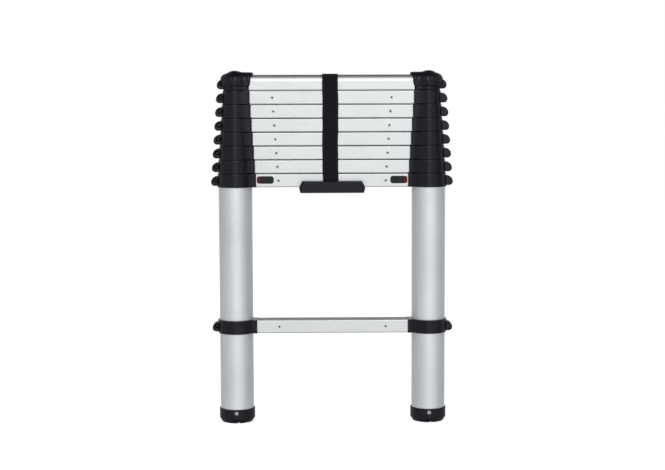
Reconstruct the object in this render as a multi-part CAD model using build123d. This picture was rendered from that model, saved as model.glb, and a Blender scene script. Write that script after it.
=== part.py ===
from build123d import *
import os

# A closed telescopic ladder: two stacks of nested round tubes joined by nine rungs.
# X runs along the rungs, the front faces -Y and Z is up. The origin is on the floor
# midway between the feet. All sizes are in millimetres.

# Layout of the ladder
STILE_SPACING = 395.0  # between the two tube axes
FIRST_RUNG_HEIGHT = 198.6  # floor to the middle of the lowest rung
RUNG_PITCH = 300.0  # between rungs that are drawn out, and between rungs 1 and 2
SECTIONS = 8  # pairs of tubes; the first pair carries two rungs, the others one

# Tubes
TUBE_OD = 68.5  # the largest pair
TUBE_WALL = 1.5
TUBE_GAP = 0.45  # radial clearance between one tube and the next
TUBE_OVERLAP = 70.0  # what stays inside the next tube when drawn out

# Rungs, hollow extrusions
RUNG_DEPTH = 38.0
RUNG_HEIGHT = 27.0
RUNG_WALL = 1.6
RUNG_BROW = 2.2  # round of the upper edges
RUNG_ROUND = 2.0  # and of the lower edges
TOP_RUNG_EXTRA = 0.5  # the top rung stands this much proud of the others, front and back
TOP_RUNG_HEIGHT = 31.5
TOP_RUNG_ROUND = 14.0
TREAD_GROOVES = 7
TREAD_GROOVE_PITCH = 4.0
TREAD_GROOVE_WIDTH = 1.4
TREAD_GROOVE_DEPTH = 0.6
STACK_RIB_WIDTH = 8.0  # rib under each rung, which closes the gap to the next rung of a closed stack
STACK_RIB_DEPTH = 0.7
STACK_RIB_GAP = 0.4  # the rib stops short of the socket faces of the rung below

# Collars, moulded plastic clamps between tube and rung
COLLAR_HEIGHT = 27.7
COLLAR_STACK_GAP = 0.3  # between the collars of a closed stack
COLLAR_WALL = 2.0  # at the top of the ring
COLLAR_FLARE = 0.8  # added at the bottom of the ring
CLAMP_WALL = 3.2  # the lowest pair of collars, which clamp the tube half way up
CLAMP_BAND = 5.2  # their thicker rim at the top
CLAMP_BAND_PROUD = 0.7
COLLAR_EDGE = 0.7  # bevel on the ring's lower rim
COLLAR_BROW = 0.5  # sloping upper rim, how far in
COLLAR_BROW_HEIGHT = 2.6
COLLAR_LIP = 4.0  # rim that covers the end of the tube
LIP_GAP = 0.35  # between that rim and the next tube
SEAT_GAP = 0.05  # collar, foot and cap on the tube they are clamped to
NECK_REACH = 8.75  # socket face beyond the tube
NECK_PROUD = 2.2  # socket wider than the rung, front and back
NECK_INSET = 0.05  # socket lower than the ring, top and bottom
NECK_ROUND = 1.2
NECK_RIM = 3.0  # flange at the socket face, along X
NECK_RIM_PROUD = 0.8
SPIGOT_LENGTH = 52.0  # plug inside the rung
SPIGOT_WALL = 3.0
SPIGOT_FIT = 0.2

# Screw lugs on the outer side of the collars
LUG_REACH = 15.05  # widest point beyond the tube
LUG_DROP = 3.65  # widest level below the middle of the collar
LUG_BROW_RADIUS = 12.6  # round above the widest level
LUG_HEEL_RADIUS = 7.4  # round below it
LUG_THICKNESS = 20.0
LUG_EDGE = 1.2
LUG_SPLIT = 1.4
SCREW_IN = 9.6  # screw axis inside the widest point
SCREW_RISE = 3.8  # screw axis above the widest level
SCREW_RECESS_RADIUS = 4.8
SCREW_RECESS_DEPTH = 5.0

# Release buttons on the second rung
WINDOW_INSET = 1.5  # from the socket face
WINDOW_HEIGHT = 15.2
WINDOW_RISE = 1.2  # above the middle of the rung
WINDOW_CORNER = 5.0
WINDOW_SPARE = 1.6  # left beside the knob when it is slid all the way out
BUTTON_LENGTH = 23.0
BUTTON_TRAVEL = 9.6  # outwards from where the closed ladder holds it
BUTTON_GAP = 0.3  # round the knob and the plate behind it
BUTTON_PROUD = 1.6
BUTTON_PLATE = 1.5
BUTTON_LIP = 1.6  # plate beyond the knob
FLAG_SHOWN = 6.0  # red at the outer end of the window
FLAG_THICKNESS = 0.8
POCKET_WALL = 1.3  # left behind the flag
GRIP_GROOVES = 3
GRIP_PITCH = 4.5
GRIP_WIDTH = 1.4
GRIP_DEPTH = 0.7

# Feet
FOOT_WALL = 2.2
FOOT_HEIGHT = 28.5
FOOT_FLOOR = 9.0
FOOT_CHAMFER = 5.0
FOOT_CHAMFER_RISE = 8.0
FOOT_RIM = 0.8
SOLE_GROOVES = 4
SOLE_GROOVE_PITCH = 16.0
SOLE_GROOVE_WIDTH = 2.2
SOLE_GROOVE_DEPTH = 2.5
SOLE_NOTCH_OFFSET = 3.5  # one groove from front to back, right of the middle

# Top caps
CAP_SIDE = 8.5  # widest part beyond the tube
CAP_BAND = 8.5  # plain band under the hood
CAP_TUCK = 1.6  # the hood narrows to its lower edge
CAP_SHOULDER = 19.0  # height of the widest part
CAP_RISE = 5.6  # hood above the top rung
DOME_RISE = 3.2  # dome above the hood
DOME_BROW_IN = 1.2  # points that the dome's outline goes through: in from the side
DOME_BROW_DROP = 10.2  # and below the top of the hood
DOME_TURN_IN = 4.5
DOME_TURN_DROP = 6.2
DOME_SLOPE_IN = 9.6
DOME_SLOPE_DROP = 2.2
DOME_CROWN_RADIUS = 10.0
DOME_CROWN_DROP = 2.1  # below the peak
HOOD_REACH = 18.0  # upper inner corner beyond the tube
HOOD_ROUND = 13.0  # upper edges, front and back
CAP_NECK_REACH = 9.5  # lower inner edge beyond the tube
CAP_TUBE_DEPTH = 20.0  # tube inside the cap

# Carry strap and handle
STRAP_WIDTH = 32.0
STRAP_THICKNESS = 1.6
STRAP_GAP = 0.3  # over the top rung
STRAP_OFFSET = -3.4  # left of the middle
STRAP_TAIL = 5.5  # hangs below the second rung at the back
STRAP_SLOT_GAP = 0.5  # beside the strap in the back of the handle
HANDLE_LENGTH = 134.5  # at the widest
HANDLE_HEIGHT = 24.0
HANDLE_THICKNESS = 17.0
HANDLE_DROP = 11.5  # hangs below the second rung
HANDLE_TOP_INSET = 6.5  # each end slopes in to the upper edge
HANDLE_LOW_INSET = 3.0  # and to the lower edge
HANDLE_WIDEST = 10.0  # height of the widest place
HANDLE_END_BEVEL = 4.0  # bevel of the front face at its ends
HANDLE_EDGE_BEVEL = 2.2  # and along its upper and lower edges
HANDLE_BEVEL_DEPTH = 4.5
HANDLE_EDGE = 0.8
HANDLE_REAR_GAP = 0.8  # in front of the second rung

HALF_SPACING = STILE_SPACING / 2
STACK_PITCH = COLLAR_HEIGHT + COLLAR_STACK_GAP
WINDOW_LENGTH = BUTTON_LENGTH + BUTTON_TRAVEL + BUTTON_GAP + WINDOW_SPARE
RUNGS = SECTIONS + 1
FRONT = -1
BACK = 1


def tube_radius(section):
    """Outer radius of one pair of tubes; each pair nests in the one before."""
    return TUBE_OD / 2 - (section - 1) * (TUBE_WALL + TUBE_GAP)


def rung_section(rung):
    """The pair of tubes that carries a rung."""
    return max(1, rung - 1)


def collar_base(rung):
    """Height of the underside of a rung's collars in the closed ladder."""
    lowest = FIRST_RUNG_HEIGHT - COLLAR_HEIGHT / 2
    if rung == 1:
        return lowest
    return lowest + RUNG_PITCH + (rung - 2) * STACK_PITCH


def rung_base(rung):
    """Height of the underside of a rung, level in its collars."""
    return collar_base(rung) + (COLLAR_HEIGHT - RUNG_HEIGHT) / 2


def tube_top(section):
    """Height of the upper end of a pair of tubes, under the rim of its collars or cap."""
    base = collar_base(section + 1)
    if section == SECTIONS:
        return base + CAP_TUBE_DEPTH
    return base + COLLAR_HEIGHT - COLLAR_LIP


def neck_face(rung):
    """Distance from the tube axis to the face that the end of the rung meets."""
    reach = CAP_NECK_REACH if rung == RUNGS else NECK_REACH
    return tube_radius(rung_section(rung)) + reach


def rung_depth(rung):
    return RUNG_DEPTH + (2 * TOP_RUNG_EXTRA if rung == RUNGS else 0)


def rung_height(rung):
    return TOP_RUNG_HEIGHT if rung == RUNGS else RUNG_HEIGHT


def on_left(shape, base):
    return Pos(-HALF_SPACING, 0, base) * shape


def on_right(shape, base):
    return Pos(HALF_SPACING, 0, base) * mirror(shape, about=Plane.YZ)


def turned(points):
    """A solid of revolution about Z from (radius, height) points."""
    return revolve(make_face(Plane.XZ * Polyline(*points, close=True)), Axis.Z, 360)


def tube(section):
    r = tube_radius(section)
    top = tube_top(section)
    bottom = FOOT_FLOOR if section == 1 else top - RUNG_PITCH - TUBE_OVERLAP
    ring = Circle(r) - Circle(r - TUBE_WALL)
    return Pos(0, 0, bottom) * extrude(ring, top - bottom)


def rung_outline(rung, grow):
    """Cross-section of a rung, larger by grow all round, with its middle at the rung's mid-height."""
    outline = Rectangle(rung_depth(rung) + 2 * grow, rung_height(rung) + 2 * grow)
    brow = TOP_RUNG_ROUND if rung == RUNGS else RUNG_BROW
    outline = fillet(outline.vertices().group_by(Axis.Y)[-1], brow + grow)
    return fillet(outline.vertices().group_by(Axis.Y)[0], RUNG_ROUND + grow)


def rung_solid(rung):
    profile = rung_outline(rung, 0) - rung_outline(rung, -RUNG_WALL)
    height = rung_height(rung)
    first = -(TREAD_GROOVES - 1) / 2 * TREAD_GROOVE_PITCH
    for i in range(TREAD_GROOVES):
        at = first + i * TREAD_GROOVE_PITCH
        brow = TOP_RUNG_ROUND if rung == RUNGS else RUNG_BROW
        if abs(at) + TREAD_GROOVE_WIDTH / 2 < rung_depth(rung) / 2 - brow:
            profile -= Pos(at, height / 2) * Rectangle(TREAD_GROOVE_WIDTH, 2 * TREAD_GROOVE_DEPTH)
    half = HALF_SPACING - neck_face(rung)
    bar = extrude(Plane.YZ * profile, half, both=True)
    between = HALF_SPACING - neck_face(max(1, rung - 1)) - STACK_RIB_GAP
    rib = Box(2 * between, STACK_RIB_WIDTH, STACK_RIB_DEPTH + RUNG_WALL / 2)
    bar += Pos(0, 0, -(height + STACK_RIB_DEPTH - RUNG_WALL / 2) / 2) * rib
    if rung == 2:
        for side in (-1, 1):
            middle = side * (half - WINDOW_INSET - WINDOW_LENGTH / 2)
            window = Pos(middle, WINDOW_RISE) * RectangleRounded(WINDOW_LENGTH, WINDOW_HEIGHT, WINDOW_CORNER)
            cut = extrude(Plane.XZ * window, RUNG_DEPTH / 2 + 1)
            bar -= Pos(0, -RUNG_DEPTH / 4, 0) * cut
    return Pos(0, 0, rung_base(rung) + height / 2) * bar


def lug(r, middle, face):
    """Screw lug on the outer side: a broad round brow over a tighter heel, with the screw's recess in one face."""
    out = -(r + LUG_REACH)
    wide = middle - LUG_DROP
    low = wide - LUG_HEEL_RADIUS
    high = wide + LUG_BROW_RADIUS
    heel = out + LUG_HEEL_RADIUS
    brow = out + LUG_BROW_RADIUS
    slant = 2 ** -0.5
    heel_round = ThreePointArc(
        (heel, low), (heel - slant * LUG_HEEL_RADIUS, wide - slant * LUG_HEEL_RADIUS), (out, wide))
    brow_round = ThreePointArc(
        (out, wide), (brow - slant * LUG_BROW_RADIUS, wide + slant * LUG_BROW_RADIUS), (brow, high))
    outline = make_face([Line((-r, low), (heel, low)), heel_round, brow_round,
                         Line((brow, high), (-r, high)), Line((-r, high), (-r, low))])
    block = extrude(Plane.XZ * outline, LUG_THICKNESS / 2, both=True)
    faces = block.edges().group_by(Axis.Y)
    block = fillet(faces[0] + faces[-1], LUG_EDGE)
    recess = Rot(90, 0, 0) * Cylinder(SCREW_RECESS_RADIUS, 2 * SCREW_RECESS_DEPTH)
    return block - Pos(out + SCREW_IN, face * LUG_THICKNESS / 2, wide + SCREW_RISE) * recess


def spigot(rung):
    """Hollow plug that enters the end of the rung, measured from the face it meets."""
    wall = SPIGOT_WALL
    inset = RUNG_WALL + SPIGOT_FIT
    plug = rung_outline(rung, -inset)
    if rung == 2:
        wall = POCKET_WALL + FLAG_THICKNESS + BUTTON_PLATE + 2 * BUTTON_GAP
    core = Rectangle(rung_depth(rung) - 2 * (inset + wall), rung_height(rung) - 2 * (inset + SPIGOT_WALL))
    bar = extrude(Plane.YZ * (plug - core), SPIGOT_LENGTH)
    if rung == 2:
        bar -= pocket(0)
    return Pos(neck_face(rung), 0, rung_base(rung) - collar_base(rung) + rung_height(rung) / 2) * bar


def pocket_floor():
    """Distance behind the middle plane of the rung of the floor that the flag lies on."""
    return RUNG_DEPTH / 2 - RUNG_WALL - 2 * BUTTON_GAP - BUTTON_PLATE - FLAG_THICKNESS


def pocket(shrink):
    """Space for the flag and for the plate behind the knob, in the front wall of the plug."""
    length = WINDOW_INSET + WINDOW_LENGTH + BUTTON_LIP + BUTTON_GAP - shrink
    height = WINDOW_HEIGHT + 2 * BUTTON_LIP - 2 * shrink
    depth = RUNG_DEPTH / 2 - pocket_floor()
    block = Box(length, depth, height, align=(Align.MIN, Align.MAX, Align.CENTER))
    return Pos(shrink, -pocket_floor(), WINDOW_RISE) * block


def neck(reach):
    """Socket between the ring and the rung, with a flange round the face that the rung meets."""
    height = COLLAR_HEIGHT - 2 * NECK_INSET
    deep = RUNG_DEPTH + 2 * NECK_PROUD
    bar = extrude(Plane.YZ * RectangleRounded(deep, height, NECK_ROUND), reach)
    rim = RectangleRounded(deep + 2 * NECK_RIM_PROUD, height, NECK_ROUND)
    bar += Pos(reach - NECK_RIM, 0, 0) * extrude(Plane.YZ * rim, NECK_RIM)
    return Pos(0, 0, COLLAR_HEIGHT / 2) * bar


def neck_web(ring, along):
    """Hollow corners that lead the round of a wider ring into the front and back of the socket, up to its flange."""
    side = RUNG_DEPTH / 2 + NECK_PROUD
    hollow = (along ** 2 + side ** 2 - ring ** 2) / (2 * (ring - side))
    away = side + hollow
    share = ring / (ring + hollow)
    plan = Polygon((0, 0), (along * share, -away * share), (along, -side), (along, side),
                   (along * share, away * share), align=None)
    for way in (-1, 1):
        plan -= Pos(along, way * away) * Circle(hollow)
    low = NECK_INSET + NECK_ROUND
    return Pos(0, 0, low) * extrude(plan, COLLAR_HEIGHT - 2 * low)


def collar(rung, face):
    r = tube_radius(rung_section(rung))
    wall = CLAMP_WALL if rung == 1 else COLLAR_WALL
    top = r + wall
    low = r + wall + (0 if rung == 1 else COLLAR_FLARE)
    e = COLLAR_EDGE
    body = turned([(0, 0), (low - e, 0), (low, e), (top, COLLAR_HEIGHT - COLLAR_BROW_HEIGHT),
                   (top - COLLAR_BROW, COLLAR_HEIGHT), (0, COLLAR_HEIGHT)])
    if rung == 1:
        edge = top + CLAMP_BAND_PROUD
        body += turned([(0, COLLAR_HEIGHT - CLAMP_BAND), (edge, COLLAR_HEIGHT - CLAMP_BAND),
                        (edge, COLLAR_HEIGHT - e), (edge - e, COLLAR_HEIGHT), (0, COLLAR_HEIGHT)])
    body += neck(neck_face(rung))
    if top > RUNG_DEPTH / 2 + NECK_PROUD:
        body += neck_web(top, neck_face(rung) - NECK_RIM)
    body += lug(r, COLLAR_HEIGHT / 2, face)
    if rung == 1:
        body -= turned([(0, -1), (r + SEAT_GAP, -1), (r + SEAT_GAP, COLLAR_HEIGHT + 1), (0, COLLAR_HEIGHT + 1)])
    else:
        seat = COLLAR_HEIGHT - COLLAR_LIP
        lip = tube_radius(rung) + LIP_GAP
        body -= turned([(0, -1), (r + SEAT_GAP, -1), (r + SEAT_GAP, seat), (lip, seat), (lip, COLLAR_HEIGHT + 1),
                        (0, COLLAR_HEIGHT + 1)])
    out = r + LUG_REACH + 1
    body -= Pos(-out, 0, COLLAR_HEIGHT / 2) * Box(
        2 * (out - r + TUBE_WALL), LUG_SPLIT, COLLAR_HEIGHT + 2)
    body += spigot(rung)
    return body


def top_cap(face_of_screw):
    """Moulded cap: a round dome over the tube, and a hood with a slanted edge over the end of the rung."""
    r = tube_radius(SECTIONS)
    low = r + COLLAR_WALL + COLLAR_FLARE
    side = r + CAP_SIDE
    face = neck_face(RUNGS)
    inner = r + HOOD_REACH
    rise = rung_base(RUNGS) - collar_base(RUNGS)
    top = rise + TOP_RUNG_HEIGHT + CAP_RISE
    peak = top + DOME_RISE
    e = COLLAR_EDGE
    wall = Polyline((0, peak), (0, 0), (low - e, 0), (low, e), (low, CAP_BAND), (side - CAP_TUCK, CAP_BAND),
                    (side, CAP_SHOULDER))
    dome = Spline((side, CAP_SHOULDER), (side - DOME_BROW_IN, top - DOME_BROW_DROP),
                  (side - DOME_TURN_IN, top - DOME_TURN_DROP), (side - DOME_SLOPE_IN, top - DOME_SLOPE_DROP),
                  (DOME_CROWN_RADIUS, peak - DOME_CROWN_DROP), (0, peak), tangents=((0, 1), (-1, 0)))
    body = revolve(make_face(Plane.XZ * (wall + dome)), Axis.Z, 360)
    deep = rung_depth(RUNGS) + 2 * NECK_PROUD
    brow = Pos(0, (CAP_BAND + top) / 2) * Rectangle(deep, top - CAP_BAND)
    brow = fillet(brow.vertices().group_by(Axis.Y)[-1], HOOD_ROUND)
    slant = Polygon((0, CAP_BAND), (face, CAP_BAND), (inner, top), (0, top), align=None)
    hood = extrude(Plane.YZ * brow, inner) & extrude(Plane.XZ * slant, deep, both=True)
    under = Pos(face / 2, 0, (CAP_BAND + 1) / 2) * Box(face, deep - 2 * NECK_RIM_PROUD, CAP_BAND + 1)
    body = body + hood + under + lug(r, COLLAR_HEIGHT / 2, face_of_screw)
    body -= Pos(0, 0, -1) * Cylinder(r + SEAT_GAP, CAP_TUBE_DEPTH + 1, align=(Align.CENTER, Align.CENTER, Align.MIN))
    socket = extrude(Plane.YZ * rung_outline(RUNGS, SPIGOT_FIT), HOOD_REACH + 1)
    body -= Pos(face, 0, rise + TOP_RUNG_HEIGHT / 2) * socket
    body += spigot(RUNGS)
    return body


def button():
    """Knob in the window and the plate that keeps it there, measured from the socket face."""
    length = BUTTON_LENGTH
    height = WINDOW_HEIGHT - 2 * BUTTON_GAP
    start = WINDOW_INSET + WINDOW_LENGTH - BUTTON_GAP - BUTTON_LENGTH
    front = -RUNG_DEPTH / 2 - BUTTON_PROUD
    back = -pocket_floor() - FLAG_THICKNESS - BUTTON_GAP
    outline = Pos(start + length / 2, WINDOW_RISE) * RectangleRounded(length, height, WINDOW_CORNER - BUTTON_GAP)
    knob = extrude(Plane.XZ.offset(-back) * outline, back - front)
    rim = knob.edges().group_by(Axis.Y)[0]
    knob = chamfer(rim, BUTTON_PROUD / 3)
    for i in range(GRIP_GROOVES):
        at = start + length / 2 + (i - (GRIP_GROOVES - 1) / 2) * GRIP_PITCH
        knob -= Pos(at, front, WINDOW_RISE) * Box(GRIP_WIDTH, 2 * GRIP_DEPTH, height)
    plate = Box(length + 2 * BUTTON_LIP, BUTTON_PLATE, height + 2 * BUTTON_LIP - 2 * BUTTON_GAP)
    return knob + Pos(start + length / 2, back - BUTTON_PLATE / 2, WINDOW_RISE) * plate


def flag():
    """Red plate on the floor of the pocket, at the outer end of the window."""
    height = WINDOW_HEIGHT + 2 * BUTTON_LIP - 2 * BUTTON_GAP
    length = WINDOW_INSET + FLAG_SHOWN - BUTTON_GAP
    block = Box(length, FLAG_THICKNESS, height, align=(Align.MIN, Align.MAX, Align.CENTER))
    return Pos(BUTTON_GAP, -pocket_floor(), WINDOW_RISE) * block


def foot():
    r = tube_radius(1)
    out = r + FOOT_WALL
    body = turned([(0, 0), (out - FOOT_CHAMFER, 0), (out, FOOT_CHAMFER_RISE), (out, FOOT_HEIGHT - FOOT_RIM),
                   (out - FOOT_RIM, FOOT_HEIGHT), (r + SEAT_GAP, FOOT_HEIGHT), (r + SEAT_GAP, FOOT_FLOOR),
                   (0, FOOT_FLOOR)])
    for i in range(SOLE_GROOVES):
        at = (i - (SOLE_GROOVES - 1) / 2) * SOLE_GROOVE_PITCH
        body -= Pos(0, at, 0) * Box(2 * out, SOLE_GROOVE_WIDTH, 2 * SOLE_GROOVE_DEPTH)
    return body - Pos(SOLE_NOTCH_OFFSET, 0, 0) * Box(SOLE_GROOVE_WIDTH, 2 * out, 2 * SOLE_GROOVE_DEPTH)


def strap():
    half = rung_depth(RUNGS) / 2 + STRAP_GAP
    top = rung_base(RUNGS) + TOP_RUNG_HEIGHT + STRAP_GAP
    low = rung_base(2) - STRAP_TAIL
    height = top - low
    middle = (top + low) / 2
    inner = Rectangle(2 * half, height)
    inner = fillet(inner.vertices().group_by(Axis.Y)[-1], TOP_RUNG_ROUND + STRAP_GAP)
    t = STRAP_THICKNESS
    outer = Pos(0, t / 2) * Rectangle(2 * (half + t), height + t)
    outer = fillet(outer.vertices().group_by(Axis.Y)[-1], TOP_RUNG_ROUND + STRAP_GAP + t)
    band = extrude(Plane.YZ * (outer - inner), STRAP_WIDTH / 2, both=True)
    return Pos(STRAP_OFFSET, 0, middle) * band


def handle():
    """Moulded bar with six-sided ends and a bevelled front; the strap lies in a channel in its back."""
    back = -(RUNG_DEPTH / 2 + HANDLE_REAR_GAP)
    half = HANDLE_LENGTH / 2
    upper = half - HANDLE_TOP_INSET
    lower = half - HANDLE_LOW_INSET
    outline = Polygon(
        (-lower, 0), (lower, 0), (half, HANDLE_WIDEST), (upper, HANDLE_HEIGHT), (-upper, HANDLE_HEIGHT),
        (-half, HANDLE_WIDEST), align=None)
    e = HANDLE_END_BEVEL
    low = HANDLE_EDGE_BEVEL
    high = HANDLE_HEIGHT - HANDLE_EDGE_BEVEL
    face = Polygon(
        (-lower + e, low), (lower - e, low), (half - e, HANDLE_WIDEST), (upper - e, high), (-upper + e, high),
        (-half + e, HANDLE_WIDEST), align=None)
    body = HANDLE_THICKNESS - HANDLE_BEVEL_DEPTH
    bar = extrude(Plane.XZ * outline, body)
    bar += loft([Plane.XZ.offset(body) * outline, Plane.XZ.offset(HANDLE_THICKNESS) * face], ruled=True)
    bar = fillet(bar.edges(), HANDLE_EDGE)
    strap_front = rung_depth(RUNGS) / 2 + STRAP_GAP + STRAP_THICKNESS
    deep = strap_front + back
    channel = Box(STRAP_WIDTH + 2 * STRAP_SLOT_GAP, 2 * deep, 3 * HANDLE_HEIGHT)
    bar -= Pos(STRAP_OFFSET, 0, HANDLE_HEIGHT / 2) * channel
    return Pos(0, back, rung_base(2) - HANDLE_DROP) * bar


def save(name, shape):
    export_step(shape, f"parts/{name}.step")


os.makedirs("parts", exist_ok=True)

sole = foot()
save("left_foot", on_left(sole, 0))
save("right_foot", Pos(HALF_SPACING, 0, 0) * sole)

for section in range(1, SECTIONS + 1):
    pipe = tube(section)
    save(f"stiles_{section}", Compound(children=[Pos(-HALF_SPACING, 0, 0) * pipe, Pos(HALF_SPACING, 0, 0) * pipe]))

for rung in range(1, RUNGS + 1):
    save(f"rung_{rung}", rung_solid(rung))

for rung in range(1, RUNGS):
    save(f"left_collar_{rung}", on_left(collar(rung, FRONT), collar_base(rung)))
    save(f"right_collar_{rung}", on_right(collar(rung, BACK), collar_base(rung)))

save("left_top_cap", on_left(top_cap(FRONT), collar_base(RUNGS)))
save("right_top_cap", on_right(top_cap(BACK), collar_base(RUNGS)))

second = Pos(neck_face(2), 0, COLLAR_HEIGHT / 2)
knob = second * button()
save("left_button", on_left(knob, collar_base(2)))
save("right_button", on_right(knob, collar_base(2)))
plate = second * flag()
save("left_lock_flag", on_left(plate, collar_base(2)))
save("right_lock_flag", on_right(plate, collar_base(2)))

save("strap", strap())
save("handle", handle())
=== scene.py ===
import math

import bmesh
import bpy
import numpy as np
from mathutils import Matrix, Vector


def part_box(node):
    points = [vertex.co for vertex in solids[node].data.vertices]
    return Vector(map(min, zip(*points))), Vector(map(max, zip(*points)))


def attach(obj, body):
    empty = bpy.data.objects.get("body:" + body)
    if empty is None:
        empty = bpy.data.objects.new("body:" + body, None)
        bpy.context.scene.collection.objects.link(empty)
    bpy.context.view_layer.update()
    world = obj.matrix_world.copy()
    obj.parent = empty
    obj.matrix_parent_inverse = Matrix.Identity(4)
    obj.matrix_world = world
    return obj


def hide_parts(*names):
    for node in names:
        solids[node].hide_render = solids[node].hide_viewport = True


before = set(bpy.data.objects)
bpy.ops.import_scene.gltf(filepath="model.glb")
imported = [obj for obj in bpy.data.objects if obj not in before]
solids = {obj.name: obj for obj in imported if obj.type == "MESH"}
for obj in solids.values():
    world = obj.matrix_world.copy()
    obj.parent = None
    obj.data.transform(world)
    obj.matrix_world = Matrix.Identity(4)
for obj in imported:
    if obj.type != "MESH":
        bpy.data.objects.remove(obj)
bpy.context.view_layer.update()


# Tubes: eight pairs of drawn aluminium pipes, each pair sliding in the one below it.
# They are anodised to a satin silver, with faint lines left by the drawing die along their length,
# broad and hardly visible changes of tone, and a few rub marks from the bushes they slide in.
def new_material(name):
    """A node material; returns it with its node tree and its Principled shader."""
    material = bpy.data.materials.new(name)
    material.use_nodes = True
    tree = material.node_tree
    return material, tree, tree.nodes["Principled BSDF"]


def node(tree, kind, **settings):
    """Adds one node and sets its properties, or its input sockets where the name is an input's."""
    made = tree.nodes.new("ShaderNode" + kind)
    for key, value in settings.items():
        if key in made.bl_rna.properties:
            setattr(made, key, value)
        else:
            made.inputs[key.replace("_", " ")].default_value = value
    return made


def ramp(tree, value, low, high, at=(0.3, 0.7)):
    """Maps a value between two stops onto a range, with the ends held."""
    made = node(tree, "MapRange", From_Min=at[0], From_Max=at[1], To_Min=low, To_Max=high)
    tree.links.new(value, made.inputs["Value"])
    return made.outputs["Result"]


def math_of(tree, operation, first, second):
    """One sum of two values, each a socket or a number."""
    made = node(tree, "Math", operation=operation)
    for socket, value in zip(made.inputs, (first, second)):
        if isinstance(value, float):
            socket.default_value = value
        else:
            tree.links.new(value, socket)
    return made.outputs["Value"]


def tint(tree, mask, dark, light):
    """Mixes two colours by a mask; a colour is three numbers or a socket."""
    made = node(tree, "Mix", data_type="RGBA")
    for socket, colour in ((made.inputs[6], dark), (made.inputs[7], light)):
        if isinstance(colour, tuple):
            socket.default_value = (*colour, 1.0)
        else:
            tree.links.new(colour, socket)
    tree.links.new(mask, made.inputs[0])
    return made.outputs[2]


def new_group(name, inputs, outputs):
    """An empty shader group with named sockets; returns it with its way in and its way out."""
    group = bpy.data.node_groups.new(name, "ShaderNodeTree")
    for title, kind in inputs.items():
        group.interface.new_socket(title, in_out="INPUT", socket_type="NodeSocket" + kind)
    for title, kind in outputs.items():
        group.interface.new_socket(title, in_out="OUTPUT", socket_type="NodeSocket" + kind)
    return group, group.nodes.new("NodeGroupInput"), group.nodes.new("NodeGroupOutput")


def drawn_metal_group():
    """Drawn or extruded metal: noise stretched into long lines, slow blotches of tone, and rub marks where a
    second, coarser stretch of noise passes a high mark. The drawing direction comes in on Z, in metres."""
    group, enter, leave = new_group(
        "drawn_metal", {"Vector": "Vector"}, {"Lines": "Float", "Blotches": "Float", "Rubs": "Float"})
    link = group.links.new
    for title, scale, detail in (("Lines", (1900.0, 1900.0, 9.0), 2.0), ("Blotches", (21.0, 21.0, 14.0), 3.0),
                                 ("Rubs", (520.0, 520.0, 5.0), 1.0)):
        stretch = node(group, "Mapping", Scale=scale)
        noise = node(group, "TexNoise", Scale=1.0, Detail=detail, Roughness=0.58)
        link(enter.outputs["Vector"], stretch.inputs["Vector"])
        link(stretch.outputs["Vector"], noise.inputs["Vector"])
        value = noise.outputs["Fac"]
        if title == "Rubs":
            value = ramp(group, value, 0.0, 1.0, (0.64, 0.76))
        link(value, leave.inputs[title])
    return group


drawn_metal = drawn_metal_group()


def satin_metal(name, turn, dark, light, rough):
    """Satin aluminium: the blotches tint it, the lines roughen it and the rubs dull it.
    Turn brings the drawing direction of the piece onto Z. Returns the sockets for more wear."""
    material, tree, shader = new_material(name)
    link = tree.links.new
    place = node(tree, "TexCoord")
    turned = node(tree, "Mapping", Rotation=turn)
    grain = node(tree, "Group", node_tree=drawn_metal)
    link(place.outputs["Object"], turned.inputs["Vector"])
    link(turned.outputs["Vector"], grain.inputs["Vector"])
    clean = tint(tree, ramp(tree, grain.outputs["Blotches"], 0.0, 1.0), dark, light)
    rubbed = math_of(tree, "MULTIPLY", grain.outputs["Rubs"], 0.5)
    colour = tint(tree, rubbed, clean, tuple(0.88 * c for c in dark))
    roughness = ramp(tree, grain.outputs["Lines"], *rough)
    bump = node(tree, "Bump", Strength=0.12, Distance=0.0002)
    link(grain.outputs["Lines"], bump.inputs["Height"])
    link(colour, shader.inputs["Base Color"])
    link(roughness, shader.inputs["Roughness"])
    link(bump.outputs["Normal"], shader.inputs["Normal"])
    shader.inputs["Metallic"].default_value = 1.0
    return material, tree, shader, place, colour, roughness


def dress(material, names):
    """Gives the solids of these names a material."""
    for name in names:
        solids[name].data.materials.clear()
        solids[name].data.materials.append(material)


SECTIONS = range(1, 9)
tube_metal = satin_metal("satin_tube", turn=(0.0, 0.0, 0.0), dark=(0.69, 0.72, 0.74), light=(0.75, 0.78, 0.80),
                         rough=(0.54, 0.62))[0]
dress(tube_metal, [f"stiles_{k}" for k in SECTIONS])


# Feet: moulded rubber boots pushed over the lowest tubes, grooved underneath for grip.
# A zinc-plated pan-head screw with a cross recess goes through the front and the back of each boot
# into the tube.
def moulded_grain_group():
    """A moulded surface: pebbles etched in the tool from fine noise, and slow clouds of tone.
    Pebble is how many fit in a metre."""
    group, enter, leave = new_group(
        "moulded_grain", {"Vector": "Vector", "Pebble": "Float"}, {"Pebbles": "Float", "Clouds": "Float"})
    link = group.links.new
    pebbles = node(group, "TexNoise", Detail=2.0, Roughness=0.5)
    clouds = node(group, "TexNoise", Scale=95.0, Detail=4.0, Roughness=0.6)
    link(enter.outputs["Pebble"], pebbles.inputs["Scale"])
    for noise, title in ((pebbles, "Pebbles"), (clouds, "Clouds")):
        link(enter.outputs["Vector"], noise.inputs["Vector"])
        link(noise.outputs["Fac"], leave.inputs[title])
    return group


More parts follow.
